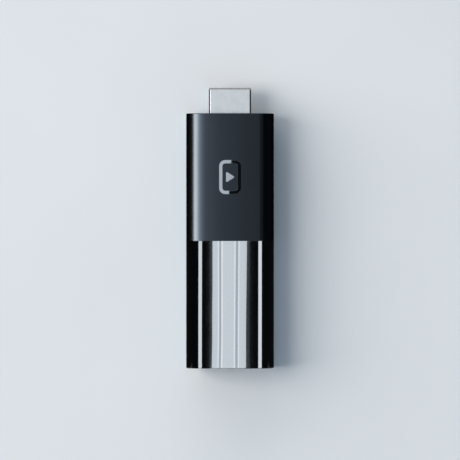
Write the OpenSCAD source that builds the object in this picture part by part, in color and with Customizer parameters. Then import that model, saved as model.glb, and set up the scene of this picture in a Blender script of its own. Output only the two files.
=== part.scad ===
// Streaming media player stick: a video plug at one end, a power socket at the other.
// It lies on its back. X is across, Y runs along the stick towards the plug, and Z is up
// through the front face. The origin is on the surface it lies on, under the centre of the
// overall footprint. All sizes are in millimetres.

/* [Body] */
// Width of the body
body_w = 28.9; // [28.6:0.1:29.4]
// Thickness of the body, from the flat back to the top of the crowned front
body_t = 15.2; // [15.1:0.1:15.6]
// Length of the body, without the plug
body_l = 84; // [83.6:0.1:84.6]
// Length of the matte half, from the plug end to the seam
matte_l = 42; // [41.5:0.1:42.5]
// Radius of the rounded sides
side_r = 7.4; // [7.3:0.05:7.5]
// Wall thickness along the sides, front and back
wall = 1.2; // [1.1:0.05:1.25]
// Thickness of the two closed ends
end_wall = 1.4; // [1.2:0.1:1.6]

/* [Seam] */
// Length of the gloss half's lip inside the matte half
lip_l = 3; // [2.6:0.1:3.4]
// Depth of the rebate that takes the lip
lip_depth = 0.6; // [0.55:0.05:0.65]
// Height of the snap beads on the lip
bead_h = 0.2; // [0.1:0.05:0.25]

/* [Video plug] */
// Length of the plug outside the body
plug_out = 8.4; // [8:0.1:9]
// Width of the plug's shell
plug_w = 13.9; // [13.8:0.05:14]
// Height of the plug's shell
plug_h = 4.45; // [4.4:0.01:4.5]
// Thickness of the plug's sheet-metal shell
plug_wall = 0.3; // [0.25:0.01:0.32]

/* [Power socket] */
// Width of the socket's shell
socket_w = 7.5; // [7.3:0.05:7.7]
// Height of the socket's shell
socket_h = 2.5; // [2.4:0.05:2.6]
// Thickness of the socket's sheet-metal shell
socket_wall = 0.25; // [0.2:0.01:0.3]

/* [Badge] */
// Width of the badge's frame
badge_w = 7.2; // [6.6:0.1:8]
// Height of the badge's frame, along the stick
badge_l = 11.2; // [10.4:0.1:12]
// Width of the badge's strokes
badge_stroke = 1.1; // [0.9:0.05:1.3]
// Thickness of the badge's metal
badge_t = 0.4; // [0.3:0.05:0.45]

/* [Board] */
// Width of the circuit board
board_w = 21; // [20.6:0.1:21.2]
// Thickness of the circuit board
board_t = 1; // [0.9:0.1:1]

/* [Hidden] */
$fn = 64;
small_fn = 32;
crown_fn = 256;
// How far a cut runs past the surface it starts from
past = 1;

// Places along the stick
tip_y = (body_l + plug_out) / 2;
head_y = tip_y - plug_out;
foot_y = head_y - body_l;
seam_y = head_y - matte_l;
badge_y = (head_y + seam_y) / 2;

// The body's outline: round sides, a flat back and a crown that is tangent to the sides
mid_z = body_t / 2;
side_x = body_w / 2 - side_r;
crown_r = (pow(body_t - side_r, 2) + side_x * side_x - side_r * side_r) / (2 * (body_t - 2 * side_r));
crown_z = body_t - crown_r;
fan = (crown_r + 5) / (crown_r - side_r);

// Seam and snap fits
lip_gap = 0.05;
bead_w = 10;
bead_l = 0.6;
bead_y = seam_y + 1.8;
hook_y = [foot_y + 20.2, head_y - 17.8];
hook_z = [mid_z - 1.5, mid_z + 1.5];
hook_l = 3;
hook_flat = 0.6;
hook_root = 0.5;
hook_out = body_w / 2 - 0.85;
hook_gap = 0.1;
pocket_x = 11;

// Badge: a rounded frame and an arrowhead, let into the front and glued down
badge_proud = 0.06;
glue_t = 0.06;
badge_gap = 0.04;
badge_r = 2;
arrow_r = 0.35;
arrow_w = 2;
arrow_l = 2.5;

// Circuit board and its screws
board_z = mid_z - board_t / 2;
board_top = board_z + board_t;
board_foot_y = foot_y + 2;
board_head_y = head_y - 7.6;
corner_relief = [1, 1.6];
screw_at = [[-8.4, board_head_y - 4.7], [8.4, board_foot_y + 17.7]];
screw_r = 0.7;
screw_hole_r = 0.85;
screw_head_r = 1.45;
screw_head_h = 0.9;
recess_w = 0.35;
recess_l = 1.7;
recess_depth = 0.55;

// Inner frame
rail_x = [board_w / 2 + 0.15, 12.35];
rail_z = [mid_z - 3, mid_z + 2.6];
frame_y = [foot_y + 2.4, head_y - 3.2];
frame_gap = 0.15;
ledge_y = [-38, -33, -14, -4, 18, 30];
ledge_l = 5;
ledge_w = 0.95;
bar_z = [rail_z[0], rail_z[0] + 1.5];
bar_l = 2.5;
boss_r = 1.9;
boss_floor = 0.6;
saddle_l = 1.6;
saddle_gap = 0.1;
end_bar_l = 1.2;
end_bar_top = mid_z - 1.4;

// Pegs that are melted over the heat spreaders' feet
peg_x = 11.2;
peg_y = [-2, 24];
peg_r = 0.45;
peg_root = 0.3;
peg_cap_r = 0.65;
peg_cap_h = 0.25;
peg_gap = 0.05;

// Heat spreaders
sheet_t = 0.6;
spreader_y = [-6, 28];
web_x = [8.4, 9];
foot_x = 12;
front_top = body_t - 2.6;
back_low = 1.6;
raised_x = 6.5;
raised_y = [1.5, 14.5];
raised_top = board_z - 1.5;

// Shields
shield_sheet = 0.2;
shield_x = 9.8;
shield_y = [-7.6, 20.4];
shield_top = board_top + 1.5;
fence_rim = 1;
lid_gap = 0.3;
lid_hole_r = 0.5;
lid_hole_x = 8.5;
lid_hole_y = [-5.4, 18.2];
radio_shield_x = [-9.8, 2.6];
radio_shield_y = [-22.5, -10.5];
radio_hole_r = 0.4;
radio_hole_y = [-20.5, -12.5];

// Thermal pads
processor_pad_w = 11;
front_pad_x = 7;
front_pad_y = [0, 16];
back_pad_x = 6;
back_pad_y = [2, 14];

// Chips: the middle of each on the board, and its size
processor_at = [0, 8];
processor_size = [12, 12, 1];
memory_size = [13.3, 7.5, 1];
memory_front_at = [0, -2.6];
memory_back_at = [0, 19.8];
flash_at = [0, -12.5];
flash_size = [11.5, 13, 1];
radio_at = [-3.6, -16.5];
radio_size = [7, 7, 0.9];
power_at = [-6.4, 17];
power_size = [4, 4, 0.9];
inductor_at = [1.8, 17];
inductor_step = 3.6;
inductor_size = [2.5, 2, 1.2];
inductor_mark = [0.8, 0.8, 0.1];
bulk_size = [2.5, 3.2, 1.8];
small_size = [0.5, 1, 0.5];
resistor_size = [0.5, 1, 0.35];
surge_size = [2.5, 1, 0.6];
choke_size = [2, 1.25, 0.9];
fuse_size = [3.2, 1.6, 0.6];
crystal_size = [3.2, 2.5, 0.8];
sleep_crystal_size = [2, 3.2, 0.8];
dimple_r = 0.3;
dimple_in = 0.8;
dimple_depth = 0.05;

// Antennas
antenna_z = [board_top + 3.5, board_top + 3.75];
antenna_x = -10;
antenna_foot_y = foot_y + 4.7;
antenna_bridge = 1;
antenna_slot = 0.8;
antenna_leg = 1.2;

// Plug
plug_r = 0.6;
plug_cut = 1.5;
plug_gap = 0.2;
plug_foot_y = head_y - 6.8;
leg_foot_y = board_head_y - 3;
leg_z = [mid_z - 0.7, mid_z + 1.4];
leg_gap = 0.05;
window_x = [2.2, 4];
window_y = [tip_y - 5.6, tip_y - 3.2];
fold_gap = 0.08;
insulator_y = [plug_foot_y + 0.2, tip_y - 0.4];
fit_gap = 0.02;
cavity_w = 11;
cavity_h = 1.5;
cavity_floor_y = head_y - 1.4;
channel_end_y = tip_y - 0.9;
channel_w = 0.6;
channel_low = -0.05;
channel_high = 0.5;
contact_t = 0.2;
contact_w = 0.45;
contact_end_y = tip_y - 1.2;
bump_y = tip_y - 2.4;
bump_l = 1;
bump_h = 0.15;
tip_rise = 0.1;
pitch = 1;
upper_pins = [for (i = [-4.5:1:4.5]) i * pitch];
lower_pins = [for (i = [-4:1:4]) i * pitch];

// Socket
socket_r = 0.35;
socket_cut = 0.8;
socket_gap = 0.2;
socket_y = [foot_y + 0.2, foot_y + 5.8];
notch_gap = 0.2;
latch_x = [1.1, 1.9];
latch_y = [socket_y[0] + 1.6, socket_y[0] + 2.8];
wing_x = 5.3;
wing_y = [socket_y[0] + 2.6, socket_y[1] - 1.3];
wing_l = 1.2;
wing_t = 0.2;
base_l = 1.4;
tongue_w = 3.7;
tongue_t = 0.6;
tongue_z = mid_z + 0.15;
tongue_y = socket_y[0] + 0.8;
socket_pitch = 0.65;
socket_pin_w = 0.35;
socket_pin_t = 0.2;
socket_tail_t = 0.12;
socket_pin_y = [socket_y[0] + 1, socket_y[1] + 1.2];
socket_bend_y = [socket_y[1] - 0.9, socket_y[1] - 0.4];
socket_pins = [for (i = [-2:1:2]) i * socket_pitch];

// ---- Helpers ----

// Extrudes a shape drawn in X and Z from one place along the stick to another
module along_y(from, to)
    translate([0, to, 0]) rotate([90, 0, 0]) linear_extrude(to - from) children();

// Extrudes a profile drawn in Y and Z across the stick, w wide and centred on x
module across_x(x, w)
    translate([x - w / 2, 0, 0]) rotate([90, 0, 90]) linear_extrude(w) children();

// A block between two places on each axis
module block(x, y, z)
    translate([x[0], y[0], z[0]]) cube([x[1] - x[0], y[1] - y[0], z[1] - z[0]]);

// A block that reaches x to either side of the middle
module wide_block(x, y, z) block([-x, x], y, z);

// The children, and their mirror image across the stick
module both_sides() {
    children();
    mirror([1, 0, 0]) children();
}

// A part centred on at that stands on the board's face at z, or hangs below it if up is -1
module chip(at, size, z, up = 1)
    translate([at[0], at[1], z + up * size[2] / 2]) cube(size, center = true);

// A row of equal parts along X, centred on at
module chip_row(at, count, step, size, z, up = 1)
    for (i = [0:count - 1])
        chip([at[0] + (i - (count - 1) / 2) * step, at[1]], size, z, up);

// The body's outline in X and Z, taken in from the outer surface by d
module section(d = 0) {
    for (s = [-1, 1])
        translate([s * side_x, side_r]) circle(r = side_r - d);
    intersection() {
        translate([0, crown_z]) circle(r = crown_r - d, $fn = crown_fn);
        polygon([
            [-side_x, d], [side_x, d], [side_x, side_r],
            [side_x * fan, crown_z + (side_r - crown_z) * fan],
            [-side_x * fan, crown_z + (side_r - crown_z) * fan], [-side_x, side_r],
        ]);
    }
}

// A connector outline centred on the middle of the body's thickness: square above, its lower
// corners cut off by cut, rounded by r and taken in by d
module connector_outline(w, h, cut, r, d)
    translate([0, mid_z]) hull() for (s = [-1, 1]) {
        translate([s * (w / 2 - r), h / 2 - r]) circle(r = r - d, $fn = small_fn);
        translate([s * (w / 2 - r), cut + r - h / 2]) circle(r = r - d, $fn = small_fn);
        translate([s * (w / 2 - cut - r), r - h / 2]) circle(r = r - d, $fn = small_fn);
    }

module plug_outline(d = 0) connector_outline(plug_w, plug_h, plug_cut, plug_r, d);

module socket_outline(d = 0) connector_outline(socket_w, socket_h, socket_cut, socket_r, d);

// ---- Casing ----

// Snap beads across the back and the crown of the lip, or with grow the grooves for them
module lip_beads(grow = 0)
    along_y(bead_y - bead_l / 2 - grow, bead_y + bead_l / 2 + grow) intersection() {
        difference() {
            section(lip_depth + lip_gap - bead_h - grow);
            section(lip_depth + 3 * lip_gap);
        }
        translate([-bead_w / 2 - grow, -past]) square([bead_w + 2 * grow, body_t + 2 * past]);
    }

// Where the frame's hooks snap into a housing's side walls
module hook_pockets(y)
    both_sides() block(
        [pocket_x, hook_out + hook_gap],
        [y - hook_l / 2 - hook_gap, y + hook_l / 2 + hook_gap],
        hook_z + [-hook_gap, hook_gap]);

module round_rect(w, l, r)
    hull() for (x = [-1, 1], y = [-1, 1])
        translate([x * (w / 2 - r), y * (l / 2 - r)]) circle(r = r, $fn = small_fn);

// The badge's plan: a rounded frame round an arrowhead
module badge_plan(grow = 0) translate([0, badge_y]) {
    difference() {
        round_rect(badge_w + 2 * grow, badge_l + 2 * grow, badge_r + grow);
        round_rect(
            badge_w - 2 * badge_stroke - 2 * grow,
            badge_l - 2 * badge_stroke - 2 * grow,
            badge_r - badge_stroke - grow);
    }
    hull() for (at = [[-arrow_w, arrow_l], [-arrow_w, -arrow_l], [arrow_w, 0]])
        translate(at / 2) circle(r = arrow_r + grow, $fn = small_fn);
}

// A skin that follows the crowned front over the badge's plan, between two depths
module badge_skin(top, bottom, grow = 0)
    intersection() {
        translate([0, 0, mid_z]) linear_extrude(body_t) badge_plan(grow);
        along_y(badge_y - badge_l, badge_y + badge_l) difference() {
            section(top);
            section(bottom);
        }
    }

module matte_housing() color("#353c44") difference() {
    along_y(seam_y, head_y) section();
    along_y(seam_y - past, head_y - end_wall) section(wall);
    along_y(seam_y - past, seam_y + lip_l + lip_gap) section(lip_depth);
    along_y(head_y - end_wall - past, head_y + past) plug_outline(-plug_gap);
    lip_beads(lip_gap);
    hook_pockets(hook_y[1]);
    badge_skin(-past, badge_t - badge_proud + glue_t, badge_gap);
}

module gloss_housing() color("#0b0d10") difference() {
    union() {
        along_y(foot_y, seam_y) section();
        along_y(seam_y - lip_depth, seam_y + lip_l) section(lip_depth + lip_gap);
        lip_beads();
    }
    along_y(foot_y + end_wall, seam_y + lip_l + past) section(wall);
    along_y(foot_y - past, foot_y + end_wall + past) socket_outline(-socket_gap);
    hook_pockets(hook_y[0]);
}

module badge() color("#c9ced6") badge_skin(-badge_proud, badge_t - badge_proud);

module badge_adhesive() color("#e8e4d8") badge_skin(badge_t - badge_proud, badge_t - badge_proud + glue_t);

// ---- Inner frame ----

// A wedge on the outside of a rail that a housing's pocket snaps over. It slopes towards the
// end of the stick that the housing comes from: 1 for the plug's end, -1 for the socket's
module hook(y, outwards)
    translate([0, y, hook_z[0]]) linear_extrude(hook_z[1] - hook_z[0]) polygon([
        [rail_x[1] - hook_root, -hook_l / 2], [rail_x[1] - hook_root, hook_l / 2],
        [rail_x[1], outwards * hook_l / 2], [hook_out, outwards * (hook_flat - hook_l / 2)],
        [hook_out, -outwards * hook_l / 2], [rail_x[1], -outwards * hook_l / 2],
    ]);

// A peg with its melted cap. It starts just inside the rail and goes through a foot
module heat_stake() {
    translate([0, 0, -peg_root]) cylinder(r = peg_r, h = peg_root + sheet_t + peg_cap_h / 2);
    translate([0, 0, sheet_t]) cylinder(r = peg_cap_r, h = peg_cap_h);
}

module heat_stakes()
    for (y = peg_y) {
        translate([peg_x, y, rail_z[1]]) heat_stake();
        translate([peg_x, y, rail_z[0]]) rotate([180, 0, 0]) heat_stake();
    }

module inner_frame() color("#22252a") difference() {
    union() {
        both_sides() {
            block(rail_x, frame_y, rail_z);
            for (y = ledge_y)
                block(
                    [rail_x[0] - ledge_w, rail_x[0] + 0.1],
                    [y - ledge_l / 2, y + ledge_l / 2], [bar_z[1], board_z]);
            hook(hook_y[1], 1);
            hook(hook_y[0], -1);
            heat_stakes();
        }
        for (at = screw_at) {
            wide_block(rail_x[0], [at[1] - bar_l / 2, at[1] + bar_l / 2], bar_z);
            translate([at[0], at[1], bar_z[0]]) cylinder(r = boss_r, h = board_z - bar_z[0]);
        }
        // A saddle under the plug, and a bar under the socket
        along_y(frame_y[1] - saddle_l, frame_y[1]) difference() {
            section(wall + frame_gap);
            translate([-plug_w / 2 - saddle_gap, mid_z - plug_h / 2 - saddle_gap])
                square([plug_w + 2 * saddle_gap, body_t]);
        }
        along_y(frame_y[0], frame_y[0] + end_bar_l) intersection() {
            section(wall + frame_gap);
            translate([-body_w / 2, 0]) square([body_w, end_bar_top]);
        }
    }
    for (at = screw_at)
        translate([at[0], at[1], bar_z[0] + boss_floor]) cylinder(r = screw_r, h = body_t);
}

// ---- Circuit board and its screws ----

module circuit_board() color("#17452f") difference() {
    wide_block(board_w / 2, [board_foot_y, board_head_y], [board_z, board_top]);
    // The socket is sunk into the board's end
    wide_block(
        socket_w / 2 + notch_gap, [board_foot_y - past, socket_y[1] + notch_gap], [0, body_t]);
    // Slots for the plug's two legs
    both_sides() block(
        [plug_w / 2 - plug_wall - leg_gap, plug_w / 2 + leg_gap],
        [leg_foot_y - 2 * leg_gap, board_head_y + past], [0, body_t]);
    for (at = screw_at)
        translate([at[0], at[1], 0]) cylinder(r = screw_hole_r, h = body_t);
    // Relief at the two corners by the socket
    both_sides() block(
        [board_w / 2 - corner_relief[0], board_w],
        [board_foot_y - past, board_foot_y + corner_relief[1]], [0, body_t]);
}

module board_screws() color("#b9bcc2")
    for (at = screw_at) translate([at[0], at[1], 0]) difference() {
        union() {
            translate([0, 0, bar_z[0] + 1]) cylinder(r = screw_r, h = board_top - bar_z[0] - 0.9);
            translate([0, 0, board_top]) cylinder(r = screw_head_r, h = screw_head_h);
        }
        // A cross recess
        for (turn = [0, 90])
            rotate(turn) translate([0, 0, board_top + screw_head_h])
                cube([recess_l, recess_w, 2 * recess_depth], center = true);
    }

// ---- Heat path ----

// One bent side of a spreader: a web, and a foot that the frame's pegs go through
module spreader_side(web_z, foot_z) {
    block(web_x, spreader_y, web_z);
    difference() {
        block([web_x[0], foot_x], spreader_y, foot_z);
        for (y = peg_y)
            translate([peg_x, y, foot_z[0] - past]) cylinder(r = peg_r + peg_gap, h = sheet_t + 2 * past);
    }
}

module front_heat_spreader() color("#c5c8cc") {
    wide_block(web_x[1], spreader_y, [front_top - sheet_t, front_top]);
    both_sides() spreader_side([rail_z[1], front_top], [rail_z[1], rail_z[1] + sheet_t]);
}

module back_heat_spreader() color("#c5c8cc") difference() {
    union() {
        wide_block(web_x[1], spreader_y, [back_low, back_low + sheet_t]);
        both_sides() spreader_side([back_low, rail_z[0]], [rail_z[0] - sheet_t, rail_z[0]]);
        wide_block(raised_x, raised_y, [back_low, raised_top]);
    }
    // The raised part is pressed out of the sheet, so it is hollow behind
    wide_block(raised_x - sheet_t, raised_y + [sheet_t, -sheet_t], [0, raised_top - sheet_t]);
}

module front_thermal_pad() color("#7fa8c9")
    wide_block(front_pad_x, front_pad_y, [shield_top + shield_sheet, front_top - sheet_t]);

module back_thermal_pad() color("#7fa8c9")
    wide_block(back_pad_x, back_pad_y, [raised_top, board_z]);

module processor_thermal_pad() color("#9aa7b0")
    chip(
        processor_at,
        [processor_pad_w, processor_pad_w, shield_top - board_top - processor_size[2]],
        board_top + processor_size[2]);

// ---- Shields ----

// A soldered wall round the processor and its memory, with a narrow rim round its open top
module shield_fence() color("#b4b8bd") difference() {
    wide_block(shield_x, shield_y, [board_top, shield_top]);
    wide_block(
        shield_x - shield_sheet, shield_y + [shield_sheet, -shield_sheet],
        [0, shield_top - shield_sheet]);
    wide_block(shield_x - fence_rim, shield_y + [fence_rim, -fence_rim], [0, body_t]);
}

module shield_lid() color("#c3c6ca") difference() {
    wide_block(
        shield_x + shield_sheet, shield_y + [-shield_sheet, shield_sheet],
        [board_top + lid_gap, shield_top + shield_sheet]);
    wide_block(shield_x, shield_y, [0, shield_top]);
    // Round holes along all four edges
    for (x = [-lid_hole_x, lid_hole_x], y = [-6:2.5:19])
        translate([x, y, mid_z]) cylinder(r = lid_hole_r, h = mid_z);
    for (x = [-6:2:6], y = lid_hole_y)
        translate([x, y, mid_z]) cylinder(r = lid_hole_r, h = mid_z);
}

module radio_shield() color("#b4b8bd") difference() {
    block(radio_shield_x, radio_shield_y, [board_top, shield_top]);
    block(
        radio_shield_x + [shield_sheet, -shield_sheet],
        radio_shield_y + [shield_sheet, -shield_sheet], [0, shield_top - shield_sheet]);
    for (x = [-8:2:1], y = radio_hole_y)
        translate([x, y, mid_z]) cylinder(r = radio_hole_r, h = mid_z);
}

// ---- Chips and small parts ----

// A moulded package with a dimple that marks its first pin
module package(at, size, z, up = 1) difference() {
    chip(at, size, z, up);
    translate([
        at[0] + dimple_in - size[0] / 2, at[1] + size[1] / 2 - dimple_in,
        z + up * size[2] - dimple_depth])
        cylinder(r = dimple_r, h = 2 * dimple_depth);
}

module main_processor() color("#2b2e33") package(processor_at, processor_size, board_top);

module memory_chips() color("#26282c") {
    package(memory_front_at, memory_size, board_top);
    package(memory_back_at, memory_size, board_z, -1);
}

module flash_storage() color("#26282c") package(flash_at, flash_size, board_z, -1);

module radio_chip() color("#26282c") package(radio_at, radio_size, board_top);

module power_controller() color("#26282c") package(power_at, power_size, board_top);

module power_inductors() color("#4a4c50") difference() {
    chip_row(inductor_at, 3, inductor_step, inductor_size, board_top);
    // A shallow square mark in the top of each
    chip_row(
        inductor_at, 3, inductor_step, inductor_mark,
        board_top + inductor_size[2] - inductor_mark[2] / 2);
}

module bulk_capacitors() color("#b58a52") chip_row([0.4, -36.6], 3, 3.4, bulk_size, board_top);

module ceramic_capacitors() color("#a8835a") {
    // Two columns beside the processor, standing along X
    both_sides() for (y = [2:1.6:13.2])
        chip([7.6, y], [small_size[1], small_size[0], small_size[2]], board_top);
    // Two rows behind the memory
    for (y = [-2.2, -0.8])
        chip_row([0, y], 9, 1.65, small_size, board_z, -1);
    // Two rows beside the radio shield
    for (y = [-13, -20])
        chip_row([6.5, y], 4, 1.4, small_size, board_top);
}

module chip_resistors() color("#1d1f22") {
    chip_row([6.5, -16.4], 4, 1.4, resistor_size, board_top);
    chip_row([0, -29.4], 9, 1.4, resistor_size, board_top);
}

module clock_crystals() color("#cfd2d6") {
    chip([5.8, -23.6], crystal_size, board_top);
    chip([-7.8, -3], sleep_crystal_size, board_top);
}

module surge_arrays() color("#26282c") chip_row([0, 25.4], 3, 3.6, surge_size, board_top);

module signal_chokes() color("#3a3d42") chip_row([0, 22.8], 4, 3, choke_size, board_top);

module input_fuse() color("#d9d4c4") chip([-4.6, -32.4], fuse_size, board_top);

// ---- Antennas ----

// A stamped antenna by the left edge: a plate slotted from alternate edges, on two legs
module antenna(w, l, slots) {
    x = [antenna_x, antenna_x + w];
    y = [antenna_foot_y, antenna_foot_y + l];
    difference() {
        block(x, y, antenna_z);
        for (i = [1:slots])
            translate([i % 2 ? -antenna_bridge : antenna_bridge, y[0] + i * l / (slots + 1), 0])
                block(x, [-antenna_slot / 2, antenna_slot / 2], [0, body_t]);
    }
    for (top = [y[1], y[1] - 2 * antenna_leg])
        block(
            [x[0], x[0] + antenna_z[1] - antenna_z[0]],
            [top - antenna_leg, top], [board_top, antenna_z[1]]);
}

module wifi_antenna() color("#d0b070") antenna(4, 13, 5);

module short_range_antenna() color("#d0b070") mirror([1, 0, 0]) antenna(3.6, 9.5, 3);

// ---- Video plug ----

module plug_shell() color("#c7ccd6") {
    difference() {
        along_y(plug_foot_y, tip_y) plug_outline();
        along_y(plug_foot_y - past, tip_y + past) plug_outline(plug_wall);
        // Windows for the springs of the socket it goes into
        both_sides() block(window_x, window_y, [0, mid_z]);
        // The seam where the folded sheet meets itself
        wide_block(fold_gap / 2, [plug_foot_y - past, tip_y + past], [0, mid_z]);
    }
    // Two legs that are soldered into the board
    both_sides() block([plug_w / 2 - plug_wall, plug_w / 2], [leg_foot_y, plug_foot_y + 1], leg_z);
}

// A contact's profile in Y and Z: a strip with a bump near the mouth, above the middle
module contact_profile() {
    z = board_t / 2;
    polygon([
        [leg_foot_y, z], [bump_y - bump_l, z], [bump_y, z - bump_h], [bump_y + bump_l, z],
        [contact_end_y, z + tip_rise], [contact_end_y, z + tip_rise + contact_t],
        [bump_y, z + contact_t - bump_h], [bump_y - bump_l, z + contact_t],
        [leg_foot_y, z + contact_t],
    ]);
}

module contact_row(pins, up)
    translate([0, 0, mid_z]) for (x = pins)
        across_x(x, contact_w) scale([1, up]) contact_profile();

module plug_upper_contacts() color("#d8b24a") contact_row(upper_pins, 1);

module plug_lower_contacts() color("#d8b24a") contact_row(lower_pins, -1);

// Channels in the insulator: they hold the contacts behind, and give them room in front
module contact_channels(pins, up)
    for (x = pins) translate([x, 0, mid_z]) scale([1, 1, up]) {
        wide_block(
            contact_w / 2, [plug_foot_y - past, head_y + past],
            [board_t / 2, board_t / 2 + contact_t]);
        wide_block(
            channel_w / 2, [cavity_floor_y, channel_end_y],
            [board_t / 2 + channel_low, board_t / 2 + channel_high]);
    }

module plug_insulator() color("#17181b") difference() {
    along_y(insulator_y[0], insulator_y[1]) plug_outline(plug_wall + fit_gap);
    wide_block(cavity_w / 2, [cavity_floor_y, tip_y], [mid_z - cavity_h / 2, mid_z + cavity_h / 2]);
    contact_channels(upper_pins, 1);
    contact_channels(lower_pins, -1);
}

// ---- Power socket ----

module socket_shell() color("#bfc3c9") {
    difference() {
        along_y(socket_y[0], socket_y[1]) socket_outline();
        along_y(socket_y[0] - past, socket_y[1] + past) socket_outline(socket_wall);
        // Holes for the latches of the cord's plug
        both_sides() block(latch_x, latch_y, [mid_z, body_t]);
    }
    // Wings that are soldered onto the board
    both_sides() for (y = wing_y)
        block(
            [socket_w / 2 - socket_wall / 2, wing_x], [y, y + wing_l],
            [board_top, board_top + wing_t]);
}

// A contact's profile in Y and Z: along the tongue, up through the base and onto the board
module socket_contact_profile() {
    low = tongue_z - socket_pin_t / 2;
    high = tongue_z + socket_pin_t / 2;
    tail_top = board_top + socket_tail_t;
    polygon([
        [socket_pin_y[0], low], [socket_bend_y[0], low], [socket_bend_y[1], board_top],
        [socket_pin_y[1], board_top], [socket_pin_y[1], tail_top],
        [socket_bend_y[1] - socket_pin_t, tail_top], [socket_bend_y[0] - 0.1, high],
        [socket_pin_y[0], high],
    ]);
}

module socket_contacts() color("#d8b24a")
    for (x = socket_pins) across_x(x, socket_pin_w) socket_contact_profile();

module socket_insulator() color("#17181b") difference() {
    union() {
        along_y(socket_y[1] - base_l, socket_y[1]) socket_outline(socket_wall + fit_gap);
        wide_block(tongue_w / 2, [tongue_y, socket_y[1] - 1], [tongue_z, tongue_z + tongue_t]);
    }
    socket_contacts();
}

// ---- Every node ----

matte_housing();
gloss_housing();
badge();
badge_adhesive();
inner_frame();
circuit_board();
board_screws();
front_heat_spreader();
back_heat_spreader();
processor_thermal_pad();
front_thermal_pad();
back_thermal_pad();
shield_fence();
shield_lid();
radio_shield();
main_processor();
memory_chips();
flash_storage();
radio_chip();
power_controller();
power_inductors();
bulk_capacitors();
ceramic_capacitors();
chip_resistors();
clock_crystals();
surge_arrays();
signal_chokes();
input_fuse();
wifi_antenna();
short_range_antenna();
plug_shell();
plug_insulator();
plug_upper_contacts();
plug_lower_contacts();
socket_shell();
socket_insulator();
socket_contacts();
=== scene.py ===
"""A streaming media player stick lying on a pale table, seen from straight above.

Shapes are in metres, in the CAD frame: +X across the stick, +Y towards the video plug, +Z up.
"""

import math

import bpy
from mathutils import Matrix, Vector
from mathutils.bvhtree import BVHTree
from mathutils.interpolate import poly_3d_calc


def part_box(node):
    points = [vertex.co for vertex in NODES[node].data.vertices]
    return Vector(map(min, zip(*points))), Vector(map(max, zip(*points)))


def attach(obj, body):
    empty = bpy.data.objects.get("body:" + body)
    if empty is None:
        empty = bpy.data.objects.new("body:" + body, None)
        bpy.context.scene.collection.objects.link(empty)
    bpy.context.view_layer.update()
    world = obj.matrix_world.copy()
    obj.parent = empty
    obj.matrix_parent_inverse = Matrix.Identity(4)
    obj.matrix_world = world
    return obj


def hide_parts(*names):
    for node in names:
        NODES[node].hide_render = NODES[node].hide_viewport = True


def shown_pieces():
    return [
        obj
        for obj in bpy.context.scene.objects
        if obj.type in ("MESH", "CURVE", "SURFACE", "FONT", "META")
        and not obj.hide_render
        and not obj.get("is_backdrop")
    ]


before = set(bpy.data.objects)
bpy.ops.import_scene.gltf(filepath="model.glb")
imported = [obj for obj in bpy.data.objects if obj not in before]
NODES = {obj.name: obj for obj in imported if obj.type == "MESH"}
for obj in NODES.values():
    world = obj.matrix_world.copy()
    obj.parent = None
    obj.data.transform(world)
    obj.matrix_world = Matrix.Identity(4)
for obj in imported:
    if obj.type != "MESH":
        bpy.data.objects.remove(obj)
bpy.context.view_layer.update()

MM = 0.001
BODY = "root"

# ---- Sizes, from the CAD frame ----

GLOSS_LOW, GLOSS_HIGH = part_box("gloss_housing")
MATTE_LOW, MATTE_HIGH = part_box("matte_housing")
PLUG_LOW, PLUG_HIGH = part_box("plug_shell")
BADGE_LOW, BADGE_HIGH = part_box("badge")

HALF_W = MATTE_HIGH.x
THICK = MATTE_HIGH.z
MID_Z = THICK / 2
MIDDLE = Vector((0, MID_Z))
FOOT_Y = GLOSS_LOW.y
SEAM_Y = MATTE_LOW.y
HEAD_Y = MATTE_HIGH.y
TIP_Y = PLUG_HIGH.y
LIP_END_Y = GLOSS_HIGH.y

# ---- Sizes that the CAD source has too ----

SIDE_R = 7.4 * MM
WALL = 1.2 * MM
END_WALL = 1.4 * MM
LIP_DEPTH = 0.6 * MM
LIP_GAP = 0.05 * MM
BEAD_H = 0.2 * MM
BEAD_HALF_W = 5 * MM
BEAD_HALF_L = 0.3 * MM
BEAD_Y = SEAM_Y + 1.8 * MM
HOOK_X = (11 * MM, HALF_W - 0.75 * MM)
HOOK_HALF_L = 1.6 * MM
HOOK_HALF_Z = 1.6 * MM
HOOK_IN_Y = (20.2 * MM, 17.8 * MM)
SIDE_X = HALF_W - SIDE_R
CROWN_R = ((THICK - SIDE_R) ** 2 + SIDE_X**2 - SIDE_R**2) / (2 * (THICK - 2 * SIDE_R))
CROWN_Z = THICK - CROWN_R
CROWN_ANGLE = math.atan2(SIDE_X, SIDE_R - CROWN_Z)
CROWN_END_X = CROWN_R * math.sin(CROWN_ANGLE)

PLUG_W = PLUG_HIGH.x - PLUG_LOW.x
PLUG_H = PLUG_HIGH.z - PLUG_LOW.z
PLUG_R = 0.6 * MM
PLUG_CUT = 1.5 * MM
PLUG_SHEET = 0.3 * MM
PLUG_BACK_Y = HEAD_Y - 6.8 * MM
LEG_LAP = 1 * MM
LEG_Z = (MID_Z - 0.7 * MM, MID_Z + 1.4 * MM)
WINDOW_X = (2.2 * MM, 4 * MM)
WINDOW_Y = (TIP_Y - 5.6 * MM, TIP_Y - 3.2 * MM)
FOLD_GAP = 0.08 * MM
SOCKET_W = 7.5 * MM
SOCKET_H = 2.5 * MM
SOCKET_R = 0.35 * MM
SOCKET_CUT = 0.8 * MM
CONNECTOR_GAP = 0.2 * MM

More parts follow.
